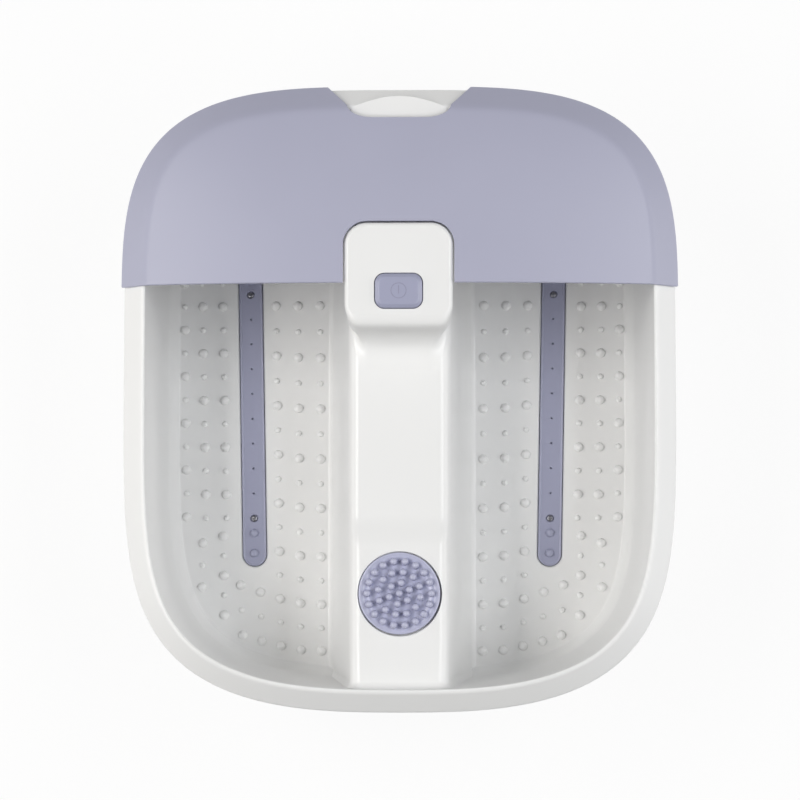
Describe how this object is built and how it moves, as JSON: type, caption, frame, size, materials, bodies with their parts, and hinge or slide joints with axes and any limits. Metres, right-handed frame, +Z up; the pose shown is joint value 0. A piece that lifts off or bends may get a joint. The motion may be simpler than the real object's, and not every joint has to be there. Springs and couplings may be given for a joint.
{
  "type": "foot spa bath",
  "caption": "Electric foot bath: a double-walled tub with foot wells, a lift-off splash guard, air strips, a massage disc, a push button, a blower, a motor and heaters.",
  "frame": {"origin": "on the surface that the feet stand on, below the middle of the bounding box", "axes": "+Z up, +Y to the rear, where the splash guard lies, +X to the right seen from the front"},
  "size_m": [0.3484, 0.3923, 0.17],
  "materials": {
    "tub_white": "satin",
    "guard_lilac": "satin",
    "trim_lilac": "satin",
    "inner_grey": "matte",
    "inner_black": "matte",
    "rubber_grey": "matte",
    "steel": "satin",
    "core_iron": "matte",
    "coil_copper": "satin",
    "heater_alloy": "matte",
    "board_green": "satin"
  },
  "bodies": {
    "tub_body": {"tub": "tub_white", "base_pan": "inner_grey", "foot_front_left": "rubber_grey", "foot_front_right": "rubber_grey", "foot_rear_left": "rubber_grey", "foot_rear_right": "rubber_grey", "air_strip_left": "trim_lilac", "air_strip_right": "trim_lilac", "air_strip_left_screw_front": "steel", "air_strip_left_screw_rear": "steel", "air_strip_right_screw_front": "steel", "air_strip_right_screw_rear": "steel", "button_gasket": "rubber_grey", "switch_carrier": "inner_grey", "carrier_screw_left": "steel", "carrier_screw_right": "steel", "switch_body": "inner_black", "button_spring": "steel", "base_screw_1": "steel", "base_screw_2": "steel", "base_screw_3": "steel", "base_screw_4": "steel", "base_screw_5": "steel", "base_screw_6": "steel", "motor_core": "core_iron", "motor_coil": "coil_copper", "motor_bridge_front": "steel", "motor_bridge_rear": "steel", "blower_housing": "inner_grey", "blower_cover": "inner_grey", "air_hose_left": "rubber_grey", "air_hose_right": "rubber_grey", "heater_left": "heater_alloy", "heater_right": "heater_alloy", "heater_left_screw_front": "steel", "heater_left_screw_rear": "steel", "heater_right_screw_front": "steel", "heater_right_screw_rear": "steel", "thermostat": "inner_black", "control_board": "board_green", "capacitor": "trim_lilac", "terminal_block": "inner_black", "cord_gland": "rubber_grey"},
    "guard": {"splash_guard": "guard_lilac"},
    "disc": {"massage_disc": "trim_lilac"},
    "button": {"power_button": "trim_lilac", "switch_plunger": "tub_white"},
    "rotor": {"motor_rotor": "steel", "blower_impeller": "inner_grey", "eccentric_weight": "steel"}
  },
  "joints": [
    {"name": "guard_lift", "type": "slide", "parent": "tub_body", "child": "guard", "axis": [0, 0, 1], "range_m": [0, 0.08]},
    {"name": "disc_lift", "type": "slide", "parent": "tub_body", "child": "disc", "axis": [0, 0, 1], "range_m": [0, 0.03]},
    {"name": "button_press", "type": "slide", "parent": "tub_body", "child": "button", "axis": [0, 0, -1], "range_m": [0, 0.002], "stiffness_N_per_m": 400, "springref_m": -0.003, "deforming": ["button_spring"]},
    {"name": "rotor_spin", "type": "hinge", "parent": "tub_body", "child": "rotor", "pos_m": [0, -0.04, 0.056], "axis": [0, 1, 0], "continuous": true}
  ]
}
